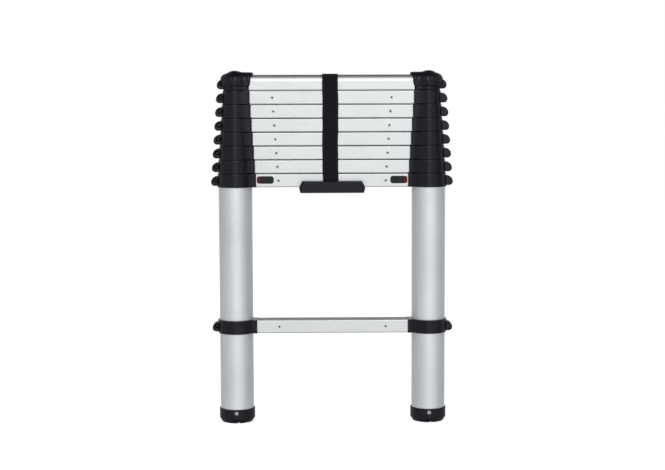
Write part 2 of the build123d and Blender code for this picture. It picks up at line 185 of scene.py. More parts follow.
def soft_edge_group():
    """Edges that are rounded and rubbed: the normal of the shape with its edges rounded to a radius, and a mask
    of how far that normal has left the true one."""
    group, enter, leave = new_group("soft_edge", {"Radius": "Float"}, {"Rubbed": "Float", "Normal": "Vector"})
    link = group.links.new
    rounded = node(group, "Bevel", samples=6)
    true = node(group, "NewGeometry")
    apart = node(group, "VectorMath", operation="DOT_PRODUCT")
    link(enter.outputs["Radius"], rounded.inputs["Radius"])
    link(rounded.outputs["Normal"], apart.inputs[0])
    link(true.outputs["Normal"], apart.inputs[1])
    link(ramp(group, apart.outputs["Value"], 1.0, 0.0, (0.86, 0.99)), leave.inputs["Rubbed"])
    link(rounded.outputs["Normal"], leave.inputs["Normal"])
    return group


moulded_grain = moulded_grain_group()
soft_edge = soft_edge_group()
COOL_GLOSS = (0.90, 0.88, 1.0, 1.0)


def moulded(name, body, rubbed, rough, pebble, relief, rounding, gloss):
    """A moulded material: clouds between two body colours, a paler rubbed colour along the edges,
    pebbles as relief over the rounded normal, and clouds again in the roughness."""
    material, tree, shader = new_material(name)
    link = tree.links.new
    place = node(tree, "TexCoord")
    grain = node(tree, "Group", node_tree=moulded_grain, Pebble=pebble)
    edge = node(tree, "Group", node_tree=soft_edge, Radius=rounding)
    link(place.outputs["Object"], grain.inputs["Vector"])
    ground = tint(tree, ramp(tree, grain.outputs["Clouds"], 0.0, 1.0), *body)
    link(tint(tree, edge.outputs["Rubbed"], ground, rubbed), shader.inputs["Base Color"])
    link(ramp(tree, grain.outputs["Clouds"], *rough), shader.inputs["Roughness"])
    bump = node(tree, "Bump", Strength=0.35, Distance=relief)
    link(grain.outputs["Pebbles"], bump.inputs["Height"])
    link(edge.outputs["Normal"], bump.inputs["Normal"])
    link(bump.outputs["Normal"], shader.inputs["Normal"])
    shader.inputs["Specular IOR Level"].default_value = gloss
    shader.inputs["Specular Tint"].default_value = COOL_GLOSS
    return material


boot_rubber = moulded("boot_rubber", body=((0.0050, 0.0048, 0.0076), (0.0080, 0.0077, 0.0110)),
                      rubbed=(0.014, 0.0135, 0.017), rough=(0.42, 0.54), pebble=1500.0, relief=0.00012,
                      rounding=0.0008, gloss=0.26)
dress(boot_rubber, ["left_foot", "right_foot"])


def pit_shaded_metal(name, dark, light, pit_shade_colour, rough):
    """Small metal heads: clouds between two tones, pebbles in the roughness, and painted shade where the piece's
    own value marks its surface as pressed in."""
    material, tree, shader = new_material(name)
    link = tree.links.new
    pit_shade = node(tree, "Attribute", attribute_name="pit_shade")
    grain = node(tree, "Group", node_tree=moulded_grain, Pebble=2800.0)
    link(node(tree, "TexCoord").outputs["Object"], grain.inputs["Vector"])
    bare = tint(tree, grain.outputs["Clouds"], dark, light)
    link(tint(tree, pit_shade.outputs["Fac"], bare, pit_shade_colour), shader.inputs["Base Color"])
    link(ramp(tree, grain.outputs["Pebbles"], *rough), shader.inputs["Roughness"])
    shader.inputs["Metallic"].default_value = 1.0
    return material


# Painted shade: the cross slots of the zinc screws are darkened.
zinc = pit_shaded_metal("zinc_plate", dark=(0.62, 0.62, 0.61), light=(0.78, 0.78, 0.77), pit_shade_colour=(0.22, 0.22, 0.22),
                    rough=(0.30, 0.46))
MERGE_WITHIN = 2e-6
SHARP_EDGE = math.radians(38.0)


def add_piece(name, grids, material, body, marks=None):
    """One object from grids of points in millimetres, rows by columns. Columns close into rings, and a row
    drawn to one point becomes a pole, once doubles are merged. Marks are values on the points, in like grids."""
    points, faces, start = [], [], 0
    for grid in grids:
        rows, columns = grid.shape[:2]
        index = start + np.arange(rows * columns).reshape(rows, columns)
        beside = np.roll(index, -1, axis=1)
        faces.append(np.stack([index[:-1], beside[:-1], beside[1:], index[1:]], axis=-1).reshape(-1, 4))
        points.append(grid.reshape(-1, 3))
        start += rows * columns
    mesh = bpy.data.meshes.new(name)
    mesh.from_pydata((np.concatenate(points) * 0.001).tolist(), [], np.concatenate(faces).tolist())
    for title, values in (marks or {}).items():
        flat = np.concatenate([v.reshape(-1, v.shape[-1]) for v in values]).astype(np.float32)
        layer = mesh.attributes.new(title, "FLOAT_VECTOR" if flat.shape[1] == 3 else "FLOAT", "POINT")
        layer.data.foreach_set("vector" if flat.shape[1] == 3 else "value", flat.ravel())
    shape = bmesh.new()
    shape.from_mesh(mesh)
    bmesh.ops.remove_doubles(shape, verts=shape.verts, dist=MERGE_WITHIN)
    bmesh.ops.recalc_face_normals(shape, faces=shape.faces)
    shape.to_mesh(mesh)
    shape.free()
    mesh.shade_smooth()
    mesh.set_sharp_from_angle(angle=SHARP_EDGE)
    mesh.materials.append(material)
    piece = bpy.data.objects.new(name, mesh)
    bpy.context.scene.collection.objects.link(piece)
    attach(piece, body)
    return piece


def smooth(low, high, value):
    """A soft step from 0 at low to 1 at high."""
    t = np.clip((value - low) / (high - low), 0.0, 1.0)
    return t * t * (3.0 - 2.0 * t)


def turned_about_y(middle, way, radius, height):
    """Rings about an axis along Y: point = middle + (r cos a, way * h, r sin a)."""
    turn = np.linspace(0.0, 2.0 * math.pi, radius.shape[-1] if radius.ndim > 1 else 48, endpoint=False)
    if radius.ndim == 1:
        radius, height = radius[:, None] + 0.0 * turn, height[:, None] + 0.0 * turn
    x, y, z = middle
    return np.stack([x + radius * np.cos(turn), y + way * height, z + radius * np.sin(turn)], axis=-1)


def cross_head(middle, way, radius, height, washer=1.0):
    """Pan head: a short straight side, then a flat dome h = H (0.4 + 0.6 (1 - (r/R)^4)^0.5), with two crossed
    slots pressed in where the distance to the nearer slot's line is small and r is under two thirds of R.
    It stands on a thin washer, so many times as wide as the head. Returns the points and how much painted shade
    each takes: all of it on the washer, and in the slots by their depth."""
    turn = np.linspace(0.0, 2.0 * math.pi, 96, endpoint=False)
    foot = np.array([0.0, washer, washer, 1.0])
    foot_lift = np.array([0.0, 0.0, 0.1, 0.1])
    rim = len(foot)
    share = np.concatenate([foot, np.sin(np.linspace(math.pi / 2, 0.0, 30))])[:, None] + 0.0 * turn
    lift = 0.4 + 0.6 * np.sqrt(np.clip(1.0 - share ** 4, 0.0, 1.0))
    lift[:rim] = foot_lift[:, None]
    off_line = share * np.minimum(np.abs(np.cos(turn)), np.abs(np.sin(turn)))
    slots = smooth(0.22, 0.13, off_line) * smooth(0.74, 0.64, share)
    slots[:rim] = 0.0
    # Painted shade: the slots and the washer are marked dark.
    dark = slots.copy()
    dark[:rim] = 1.0
    return turned_about_y(middle, way, radius * share, height * (lift - 0.6 * slots)), dark[..., None]


FOOT_SCREW_HEIGHT = 21.3
FOOT_SCREW_FACE = 36.2
FOOT_HEAD_RADIUS = 3.8
FOOT_HEAD_RISE = 2.3
TUBE_AXIS = 197.5
heads, pit_shades = zip(*[cross_head((side * TUBE_AXIS, way * FOOT_SCREW_FACE, FOOT_SCREW_HEIGHT), way,
                               FOOT_HEAD_RADIUS, FOOT_HEAD_RISE)
                    for side in (-1, 1) for way in (-1, 1)])
add_piece("foot_screws", heads, zinc, "base", {"pit_shade": pit_shades})


# Rungs: nine hollow aluminium extrusions with satin faces and a duller ribbed tread, rougher and painted darker
# as shade. The underside and its rib are painted dark as the shade in the gaps between the rungs, and the lines
# of the extrusion run along them all. Each rung is held on the plastic plugs of its two collars by a blind rivet
# at each end, front and back.
RUNGS = range(1, 10)
RIB_HALF_WIDTH = 0.0045
RIB_SHADE_END = 0.006
LEVEL_FACES = (0.965, 0.998)
# Painted shade: the tread's darker colour, and the dark colour of the underside and the rib in the gaps.
TREAD_SHADE_COLOUR = (0.47, 0.48, 0.49)
TREAD_ROUGHER = 0.12
GAP_SHADE_COLOUR = (0.20, 0.205, 0.21)
rung_metal, tree, shader, place, clean, roughness = satin_metal(
    "satin_rung", turn=(0.0, math.pi / 2, 0.0), dark=(0.635, 0.66, 0.665), light=(0.67, 0.69, 0.69),
    rough=(0.42, 0.50))
facing = node(tree, "SeparateXYZ")
tree.links.new(place.outputs["Normal"], facing.inputs["Vector"])
tread = ramp(tree, facing.outputs["Z"], 0.0, 1.0, LEVEL_FACES)
under = ramp(tree, facing.outputs["Z"], 1.0, 0.0, (-LEVEL_FACES[1], -LEVEL_FACES[0]))
depth = node(tree, "SeparateXYZ")
tree.links.new(place.outputs["Object"], depth.inputs["Vector"])
off_middle = math_of(tree, "ABSOLUTE", depth.outputs["Y"], 0.0)
inner = ramp(tree, off_middle, 1.0, 0.0, (RIB_HALF_WIDTH, RIB_SHADE_END))
inner = math_of(tree, "MULTIPLY", inner, math_of(tree, "SUBTRACT", 1.0, tread))
# Painted shade: the underside and the middle of the rib are darkened as the shade of the gaps, and the tread too.
painted_gap_shade = math_of(tree, "MAXIMUM", under, inner)
dull = tint(tree, tread, clean, TREAD_SHADE_COLOUR)
tree.links.new(tint(tree, painted_gap_shade, dull, GAP_SHADE_COLOUR), shader.inputs["Base Color"])
rougher = math_of(tree, "MULTIPLY", tread, TREAD_ROUGHER)
tree.links.new(math_of(tree, "ADD", roughness, rougher), shader.inputs["Roughness"])
dress(rung_metal, [f"rung_{k}" for k in RUNGS])

# Painted shade: the hole in each rivet, with its steel mandrel, is darkened nearly to black.
rivet_metal = pit_shaded_metal("blind_rivet", dark=(0.70, 0.72, 0.73), light=(0.82, 0.83, 0.84),
                           pit_shade_colour=(0.05, 0.05, 0.05), rough=(0.34, 0.50))
RUNG_FACE = 19.0
RIVET_FROM_COLLAR = 45.5
RIVET_RADIUS = np.array([0.0, 3.3, 3.3, 3.2, 2.9, 2.45, 2.12, 1.92, 1.80, 1.72, 1.0, 0.0])
RIVET_HEIGHT = np.array([-0.3, -0.3, 0.14, 0.44, 0.78, 0.95, 0.92, 0.78, 0.45, 0.16, 0.22, 0.24])
RIVET_PIT_SHADE = np.array([0, 0, 0, 0, 0, 0, 0, 0, 1, 1, 1, 1])


def carrier(rung):
    """The body that carries a rung: the lowest two stand on the outer tubes, each other on its own pair."""
    return "base" if rung < 3 else f"section_{rung - 1}"


def corners(name):
    """A solid's lowest and highest corners, in millimetres."""
    return 1000.0 * np.array(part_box(name))


def left_collar(rung):
    """The solid that holds the left end of a rung: its collar, or the cap for the top rung."""
    return f"left_collar_{rung}" if rung < RUNGS[-1] else "left_top_cap"


def collar_foot(rung):
    """Height of the underside of a rung's collars, in millimetres."""
    return corners(left_collar(rung))[0, 2]


def collar_middle(rung):
    """Height of the middle of a rung's collars, where its rivets are."""
    return corners(left_collar(rung))[:, 2].mean()


for k in RUNGS[:-1]:
    reach = corners(f"rung_{k}")[1, 0] - RIVET_FROM_COLLAR
    rivets = [turned_about_y((side * reach, way * RUNG_FACE, collar_middle(k)), way, RIVET_RADIUS, RIVET_HEIGHT)
              for side in (-1, 1) for way in (-1, 1)]
    # The rivets' holes take painted shade.
    dark = [np.repeat(RIVET_PIT_SHADE[:, None, None], grid.shape[1], axis=1) for grid in rivets]
    add_piece(f"rivets_{k}", rivets, rivet_metal, carrier(k), {"pit_shade": dark})


# Collars: black glass-filled nylon mouldings, clamped round the top of each tube by an eared lug outside.
# A cross-head screw draws each lug together: from the front on the left side, from the back on the right.
# The tool leaves a fine pebble on them, and handling has rubbed the edges a little paler.
nylon = moulded("collar_nylon", body=((0.0030, 0.0028, 0.0056), (0.0046, 0.0044, 0.0078)),
                rubbed=(0.009, 0.0088, 0.012), rough=(0.20, 0.28), pebble=1900.0, relief=0.00006,
                rounding=0.0013, gloss=0.27)
dress(nylon, [f"{side}_collar_{k}" for k in RUNGS[:-1] for side in ("left", "right")])

# Painted shade: each lug screw's washer and slots are darkened nearly to black, as the shade in the lug's recess.
lug_steel = pit_shaded_metal("blackened_screw", dark=(0.11, 0.11, 0.12), light=(0.16, 0.16, 0.17),
                         pit_shade_colour=(0.004, 0.004, 0.005), rough=(0.30, 0.44))
LUG_SCREW_INSET = 9.6
LUG_SCREW_HEIGHT = 14.0
LUG_RECESS_FLOOR = 5.0
LUG_HEAD_RADIUS = 2.9
LUG_HEAD_RISE = 3.2
LUG_WASHER = 1.6
for k in RUNGS:
    eye = -corners(left_collar(k))[0, 0] - LUG_SCREW_INSET
    level = collar_foot(k) + LUG_SCREW_HEIGHT
    heads, pit_shades = zip(*[cross_head((way * eye, way * LUG_RECESS_FLOOR, level), way,
                                   LUG_HEAD_RADIUS, LUG_HEAD_RISE, LUG_WASHER)
                        for way in (-1, 1)])
    add_piece(f"lug_screws_{k}", heads, lug_steel, carrier(k), {"pit_shade": pit_shades})


# Pads: thin black rubber rings under the collars of the sliding sections. They close the joint between the
# stacked collars, a dark sheet put there as the painted shade of the joint.
# Painted shade: the pads are near black and matt, so the joints between the collars read dark.
joint_shade_rubber = moulded("joint_shade_rubber", body=((0.0012, 0.0012, 0.0016), (0.0020, 0.0020, 0.0026)),
                     rubbed=(0.003, 0.003, 0.0034), rough=(0.70, 0.82), pebble=1500.0, relief=0.00004,
                     rounding=0.0001, gloss=0.06)
PAD_THICKNESS = 0.26
PAD_SUNK = 0.05
PAD_INSET = 0.5
COLLAR_WALL = 2.8
NECK_HALF_DEPTH = 21.2
TUBE_CLEARANCE = 0.1


def joint_shade_pad(rung):
    """A flat ring about the tube, x towards the rung: its outer edge is, for each direction, the larger of the
    collar's circle and the box of its neck, drawn in a little; its section is a thin rectangle."""
    turn = np.linspace(-math.pi, math.pi, 240, endpoint=False)
    tube = corners(f"stiles_{rung - 1}")[1, 0] - TUBE_AXIS
    reach = TUBE_AXIS - corners(f"rung_{rung}")[1, 0]
    ahead = np.clip(np.cos(turn), 1e-6, None)
    box = np.minimum(reach / ahead, NECK_HALF_DEPTH / np.clip(np.abs(np.sin(turn)), 1e-6, None))
    outer = np.maximum(tube + COLLAR_WALL, np.where(np.cos(turn) > 0.0, box, 0.0)) - PAD_INSET
    inner = tube + TUBE_CLEARANCE + 0.0 * turn
    radius = np.stack([inner, inner, outer, outer, inner])
    rise = np.array([PAD_SUNK, -PAD_THICKNESS, -PAD_THICKNESS, PAD_SUNK, PAD_SUNK])[:, None] + 0.0 * turn
    return np.stack([radius * np.cos(turn), radius * np.sin(turn), rise], axis=-1)


for k in RUNGS[2:]:
    pads = [joint_shade_pad(k) * np.array([side, 1.0, 1.0]) + np.array([-side * TUBE_AXIS, 0.0, collar_foot(k)])
            for side in (1.0, -1.0)]
    add_piece(f"joint_shade_pads_{k}", pads, joint_shade_rubber, carrier(k))


# Releases: two thumb knobs moulded in dark grey nylon, which slide in windows of the second rung.
# A small red plate shows at the outer end of each window until the knob is slid over it.
knob_nylon = moulded("knob_nylon", body=((0.010, 0.0125, 0.0125), (0.014, 0.0165, 0.0165)),
                     rubbed=(0.024, 0.027, 0.027), rough=(0.36, 0.48), pebble=2200.0, relief=0.00006,
                     rounding=0.0006, gloss=0.26)
dress(knob_nylon, ["left_button", "right_button"])
# Painted shade: the red plate's colour is darker than its red, as the shade in the window it lies in.
red_plate = moulded("red_plate", body=((0.15, 0.009, 0.009), (0.20, 0.013, 0.012)),
                    rubbed=(0.26, 0.03, 0.026), rough=(0.40, 0.52), pebble=2200.0, relief=0.00004,
                    rounding=0.0003, gloss=0.24)
dress(red_plate, ["left_lock_flag", "right_lock_flag"])


# Top caps: the domed ends of the ladder, moulded in the collars' nylon and closed over the thinnest tubes.
# A hood on the inner side takes the end of the top rung, grip grooves run over the brow of the dome,
# and the same eared lug clamps the cap to its tube.
CAP_AXIS_HEIGHT = 19.0
CAP_SIDE = 29.0
SHOULDER_RISE = 17.4
SHOULDER_POWER = 2.8
SHOULDER_EASE = 0.5
FACET_SLOPE = 0.31
FACET_DROP = 1.0
FACET_BLEND = 0.8
DOME_RADIUS = 23.4
DOME_RISE = 21.3
DOME_BLEND = 1.2
CAP_BAND = 23.4
BAND_BLEND = 1.5
WALL_FLARE = 1.4
WALL_HEIGHT = 10.5
NECK_END = 30.1
HOOD_REACH = 34.4
HOOD_BACK = 4.0
HOOD_SLANT = 0.26
HOOD_HALF_DEPTH = 21.7
HOOD_RISE = 18.4
HOOD_BROW = 2.2
HOOD_SQUARE = 12
HOOD_BLEND = 1.8
TUBE_BORE = 20.65
BORE_CEILING = 20.0
GROOVE_PITCH = 9.2
GROOVE_FIRST = -1.6
GROOVE_DEPTH = 1.7
# Each pair: where the groove begins to show, and where it has its full depth.
GROOVE_HALF_WIDTH = (1.9, 1.0)
GROOVE_FOOT = (15.5, 18.0)
GROOVE_HEAD = (33.5, 30.5)
GROOVE_SIDES = (4.0, 9.0)


def either(first, second, soft):
    """Smooth maximum of two surfaces: the larger, with the joint between them rounded."""
    return 0.5 * (first + second + np.sqrt((first - second) ** 2 + soft ** 2))


def hood_reach(ahead, aside, up):
    """How far the hood goes along a direction: a rounded block, |u|^n + (|v|^p + |w|^p)^(n/p) = 1, where u
    leans out with height, v and w are the depth and the rise, n is high, and p makes its brow round or square."""
    u = np.where(ahead > 0.0, np.clip(ahead - HOOD_SLANT * up, 0.0, None) / HOOD_REACH, -ahead / HOOD_BACK)
    across = (np.abs(aside) / HOOD_HALF_DEPTH) ** HOOD_BROW + (np.clip(up, 0.0, None) / HOOD_RISE) ** HOOD_BROW
    block = u ** HOOD_SQUARE + across ** (HOOD_SQUARE / HOOD_BROW)
    return np.clip(block, 1e-30, None) ** (-1.0 / HOOD_SQUARE)


def grooved(radius, turn, height):
    """Where the grip grooves are, from 0 to 1: near lines that are one pitch apart, between two heights, and on
    the hood only where its front and back are steep."""
    ahead, aside = radius * np.cos(turn), radius * np.sin(turn)
    along = np.where(ahead > 0.0, ahead, -(np.abs(turn) - math.pi / 2) * CAP_SIDE)
    off_line = np.abs((along - GROOVE_FIRST + GROOVE_PITCH / 2) % GROOVE_PITCH - GROOVE_PITCH / 2)
    steep = smooth(*GROOVE_SIDES, np.abs(aside) + np.where(ahead < 0.0, GROOVE_SIDES[1], 0.0))
    reaches = smooth(*GROOVE_FOOT, height) * smooth(*GROOVE_HEAD, height)
    return smooth(*GROOVE_HALF_WIDTH, off_line) * reaches * steep


def cap_shell():
    """The cap about its tube, with x towards the rung and z up from its underside. Below the axis height each
    level is the smooth maximum of a ring and the hood. Above it, rays from the axis meet the smooth maximum of
    three forms: a squarish shoulder, (r/R)^p + (h/H)^p = 1, where p eases off towards the front and the back
    and a leaning facet cuts it there; a low ellipsoid for the dome; and the hood.
    The grooves press the surface in along lines of equal x over the hood and of equal turn on the outer side.
    The bore for the tube closes the shape below."""
    turn = np.linspace(-math.pi, math.pi, 480, endpoint=False)
    ahead, aside = np.cos(turn), np.sin(turn)
    # Levels of the band below, and how far its foot is rounded off at each.
    low = np.array([0.0, 0.0, 0.35, 1.0, 3.0, 6.0, 8.0, 8.5])[:, None]
    trim = np.array([0.9, 0.8, 0.3, 0.0, 0.0, 0.0, 0.0, 0.0])[:, None]
    band = either(CAP_BAND, hood_reach(ahead, aside, 0.0) * (NECK_END / HOOD_REACH), BAND_BLEND) - trim
    # Levels of the wall above it, and how far its lip is drawn in at each.
    high = np.concatenate([[8.5, 8.7, 9.3], np.linspace(10.0, CAP_AXIS_HEIGHT, 22)[:-1]])[:, None]
    lip = np.array([1.6, 0.7, 0.15] + [0.0] * 21)[:, None]
    flare = CAP_SIDE - WALL_FLARE * ((CAP_AXIS_HEIGHT - high) / WALL_HEIGHT) ** 2
    draw_in = 1.0 - HOOD_SLANT * (CAP_AXIS_HEIGHT - high) / HOOD_REACH
    wall = either(flare, hood_reach(ahead / draw_in, aside, 0.0) + 0.0 * high, HOOD_BLEND) - lip
    climb = np.linspace(0.0, math.pi / 2, 76)[:, None]
    level, up = np.cos(climb), np.sin(climb)
    power = SHOULDER_POWER - SHOULDER_EASE * aside ** 2
    shoulder = ((level / CAP_SIDE) ** power + (up / SHOULDER_RISE) ** power) ** (-1.0 / power)
    slope = FACET_SLOPE * aside ** 2
    facet = (CAP_SIDE - slope * FACET_DROP) / (level + slope * up)
    shoulder = -either(-shoulder, -facet, FACET_BLEND)
    dome = 1.0 / np.sqrt((level / DOME_RADIUS) ** 2 + (up / DOME_RISE) ** 2)
    hood = hood_reach(ahead * level, aside * level, up + 0.0 * turn)
    brow = either(either(shoulder, dome, DOME_BLEND), hood, HOOD_BLEND)
    wall = wall - GROOVE_DEPTH * grooved(wall, turn, high)
    brow = brow - GROOVE_DEPTH * grooved(brow * level, turn, CAP_AXIS_HEIGHT + brow * up)
    bore = np.array([[0.0], [TUBE_BORE], [TUBE_BORE]]) + 0.0 * turn
    radius = np.concatenate([bore, band, wall, brow * level])
    rise = np.concatenate([[[BORE_CEILING], [BORE_CEILING], [0.0]], low, high]) + 0.0 * turn
    rise = np.concatenate([rise, CAP_AXIS_HEIGHT + brow * up])
    return np.stack([radius * ahead, radius * aside, rise], axis=-1)


LUG_REACH = 15.05
LUG_WIDEST = 10.2
LUG_BROW_RADIUS = 12.6
LUG_HEEL_RADIUS = 7.4
LUG_HALF_DEPTH = 10.0
LUG_EDGE = np.array([1.1, 0.55, 0.15, 0.0])
LUG_RECESS_RADIUS = 4.8
LUG_RECESS_FLARE = np.array([0.0, 1.0, 1.0, 1.03, 1.1])
LUG_RECESS_EDGE = (0.5, 0.15)


def lug_block(root):
    """An eared lug outside a round of radius root, seen along Y: a quarter of a wide circle over a quarter of a
    tighter one, meeting at the widest level, with a straight back inside the cap. The outline is carried from
    face to face with rounded edges, and the front face has the screw's round recess."""
    turn = np.linspace(0.0, 2.0 * math.pi, 120, endpoint=False)
    out = np.stack([np.cos(turn), np.sin(turn)], axis=-1)
    widest = np.array([root + LUG_REACH, LUG_WIDEST])
    brow, heel = widest - (LUG_BROW_RADIUS, 0.0), widest - (LUG_HEEL_RADIUS, 0.0)
    inset = np.concatenate([LUG_EDGE, LUG_EDGE[::-1]])[:, None, None]
    depth = LUG_HALF_DEPTH - LUG_EDGE[::-1]
    above = brow + (LUG_BROW_RADIUS - inset) * out
    below = heel + (LUG_HEEL_RADIUS - inset) * out
    half_height = 0.5 * (LUG_BROW_RADIUS + LUG_HEEL_RADIUS)
    middle = LUG_WIDEST + LUG_BROW_RADIUS - half_height
    within = np.array([root, middle]) + (half_height - inset) * out * np.array([0.0, 1.0])
    side = np.where(out[:, :1] < -1e-9, within, np.where(out[:, 1:] > 0.0, above, below))
    eye = np.array([root + LUG_REACH - LUG_SCREW_INSET, LUG_SCREW_HEIGHT])
    recess = eye + (LUG_RECESS_RADIUS * LUG_RECESS_FLARE)[:, None, None] * out
    outline = np.concatenate([recess, side, eye + 0.0 * side[:1]])
    mouth = [LUG_HALF_DEPTH - drop for drop in LUG_RECESS_EDGE]
    recess_depth = -np.array([LUG_RECESS_FLOOR, LUG_RECESS_FLOOR, *mouth, LUG_HALF_DEPTH])
    y = np.concatenate([recess_depth, -depth, depth[::-1], [LUG_HALF_DEPTH]])[:, None] + 0.0 * turn
    return np.stack([-outline[..., 0], y, outline[..., 1]], axis=-1)


TOP_TUBE = 20.6
for name, side in (("left", 1.0), ("right", -1.0)):
    seat = np.array([-side * TUBE_AXIS, 0.0, collar_foot(RUNGS[-1])])
    shell = cap_shell() * np.array([side, 1.0, 1.0]) + seat
    lug = lug_block(TOP_TUBE) * np.array([side, side, 1.0]) + seat
    cap = add_piece(f"{name}_cap", [shell, lug], nylon, "section_8")
    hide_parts(f"{name}_top_cap")


# Carry strap: one length of black polyester webbing laid over the top rung and down both faces of the
# closed stack. It is sewn along both edges, its tail is hemmed at the back, and its front end is held in
# the channel behind the handle.
STRAP_HALF_WIDTH = 16.0
STRAP_HALF_THICK = 0.75
STRAP_INSET = 0.8
strap_low, strap_high = corners("strap")
STRAP_MIDDLE = 0.5 * (strap_low[0] + strap_high[0])
STRAP_HALF_DEPTH = strap_high[1] - STRAP_INSET
STRAP_TOP = strap_high[2] - STRAP_INSET
STRAP_FOOT = strap_low[2]
STRAP_CORNER = 15.1
STRAP_RISE = STRAP_TOP - STRAP_CORNER - STRAP_FOOT
STRAP_QUARTER = 0.5 * math.pi * STRAP_CORNER
STRAP_FLAT = 2 * (STRAP_HALF_DEPTH - STRAP_CORNER)
STRAP_LENGTH = 2 * STRAP_RISE + STRAP_FLAT + 2 * STRAP_QUARTER
SEAM_ASIDE = 13.0
SEAM_SUNK = 0.16
SEAM_SPREAD = 0.8
HEM_THICKNESS = 1.4
HEM_START = 23.0
HEM_SLOPE = 2.0


def strap_line(length):
    """Where the strap's middle is after a length from its front end: up the front, a quarter round, across the
    top, a quarter round and down the back. Returns the depth, the height, and the way its outer face looks."""
    past_first = length - STRAP_RISE - STRAP_QUARTER
    bend = np.clip((length - STRAP_RISE) / STRAP_CORNER, 0.0, math.pi / 2)
    bend = bend + np.clip((past_first - STRAP_FLAT) / STRAP_CORNER, 0.0, math.pi / 2)
    up = np.clip(length, 0.0, STRAP_RISE)
    across = np.clip(past_first, 0.0, STRAP_FLAT)
    down = np.clip(past_first - STRAP_FLAT - STRAP_QUARTER, 0.0, None)
    first = np.minimum(bend, math.pi / 2)
    second = np.maximum(bend - math.pi / 2, 0.0)
    depth = -STRAP_HALF_DEPTH + STRAP_CORNER * (1 - np.cos(first)) + across + STRAP_CORNER * np.sin(second)
    height = STRAP_FOOT + up + STRAP_CORNER * np.sin(first) - STRAP_CORNER * (1 - np.cos(second)) - down
    return depth, height, -np.cos(bend), np.sin(bend)


def strap_wander(length):
    """How far the strap strays sideways: two slow waves of a fraction of a millimetre."""
    return 0.40 * np.sin(length / 23.0 + 0.9) + 0.22 * np.sin(length / 8.7)


def strap_band():
    """The webbing: a flat superellipse with round selvedges, sunk a little along the two rows of sewing and
    carried along the strap's line. The last stretch is doubled outwards as a hem, and the ends are closed.
    Returns the points, and how far each lies across and along the webbing."""
    length = np.concatenate([[0.0], np.linspace(0.0, STRAP_LENGTH, 420), [STRAP_LENGTH]])[:, None]
    turn = np.linspace(0.0, 2.0 * math.pi, 72, endpoint=False)
    across = STRAP_HALF_WIDTH * np.sign(np.cos(turn)) * np.abs(np.cos(turn)) ** 0.55
    face = np.sign(np.sin(turn)) * np.abs(np.sin(turn)) ** 0.25
    sewn = SEAM_SUNK * np.exp(-((np.abs(across) - SEAM_ASIDE) / SEAM_SPREAD) ** 2)
    hem = HEM_THICKNESS * smooth(-HEM_START, HEM_SLOPE - HEM_START, length - STRAP_LENGTH)
    ends = np.ones_like(length)
    ends[0] = ends[-1] = 0.0
    off = ends * (face * (STRAP_HALF_THICK - sewn) + np.where(face > 0.0, hem, 0.0))
    depth, height, out_y, out_z = strap_line(length)
    x = STRAP_MIDDLE + across + strap_wander(length)
    grid = np.stack([x, depth + off * out_y, height + off * out_z], axis=-1)
    weave = np.stack([across + 0.0 * length, length + 0.0 * across, 0.0 * (length + across)], axis=-1)
    return grid, weave


STITCH_HALF_LENGTH = 1.3
STITCH_HALF_WIDTH = 0.42


def stitches(length, across, lean, lift):
    """Sewn thread: each stitch is a half-round ridge that rises from the webbing and dips in again.
    Its ring of points runs round an ellipse, drawn in to a pole on top."""
    turn = np.linspace(0.0, 2.0 * math.pi, 8, endpoint=False)
    share = np.array([1.0, 0.82, 0.45, 0.0])[:, None]
    crown = np.array([-0.15, 0.16, 0.34, 0.38])[:, None]
    a = STITCH_HALF_LENGTH * share * np.cos(turn)
    b = STITCH_HALF_WIDTH * share * np.sin(turn)
    at = length[:, None, None] + a * np.cos(lean) - b * np.sin(lean)
    side = across[:, None, None] + a * np.sin(lean) + b * np.cos(lean)
    depth, height, out_y, out_z = strap_line(at)
    off = STRAP_HALF_THICK + crown + lift
    x = STRAP_MIDDLE + side + strap_wander(at)
    return list(np.stack([x, depth + off * out_y, height + off * out_z], axis=-1))


YARN = 1.15
PICK = 0.95
# Painted shade: the valleys between the yarns are darker than their crests.
WEB_VALLEY_SHADE = (0.0026, 0.0024, 0.0042)
WEB_CREST = (0.0098, 0.0094, 0.0128)
WEB_WORN = (0.012, 0.0115, 0.015)
webbing, tree, shader = new_material("strap_webbing")
link = tree.links.new
along = node(tree, "Attribute", attribute_name="weave")
place = node(tree, "TexCoord")
split = node(tree, "SeparateXYZ")
link(along.outputs["Vector"], split.inputs["Vector"])
column = math_of(tree, "PINGPONG", split.outputs["X"], YARN)
slant = math_of(tree, "ADD", split.outputs["Y"], math_of(tree, "MULTIPLY", column, 0.9))
rows = math_of(tree, "PINGPONG", slant, PICK)
rib = ramp(tree, column, 0.0, 1.0, (0.05, 0.7 * YARN))
over = ramp(tree, rows, 0.0, 1.0, (0.1, 0.8 * PICK))
yarns = math_of(tree, "MULTIPLY", math_of(tree, "ADD", rib, 0.35), math_of(tree, "ADD", over, 0.35))
fuzz = node(tree, "TexNoise", Scale=900.0, Detail=3.0)
worn = node(tree, "TexNoise", Scale=40.0, Detail=3.0)
for noise in (fuzz, worn):
    link(place.outputs["Object"], noise.inputs["Vector"])
# The weave's valleys take painted shade.
ground = tint(tree, ramp(tree, yarns, 0.0, 1.0, (0.12, 1.4)), WEB_VALLEY_SHADE, WEB_CREST)
rubbed = tint(tree, ramp(tree, worn.outputs["Fac"], 0.0, 0.35), ground, WEB_WORN)
link(rubbed, shader.inputs["Base Color"])
link(ramp(tree, fuzz.outputs["Fac"], 0.62, 0.80), shader.inputs["Roughness"])
relief = node(tree, "Bump", Strength=0.6, Distance=0.00025)
nap = math_of(tree, "MULTIPLY", fuzz.outputs["Fac"], 0.25)
link(math_of(tree, "ADD", yarns, nap), relief.inputs["Height"])
link(relief.outputs["Normal"], shader.inputs["Normal"])
shader.inputs["Specular IOR Level"].default_value = 0.12
shader.inputs["Sheen Weight"].default_value = 0.02

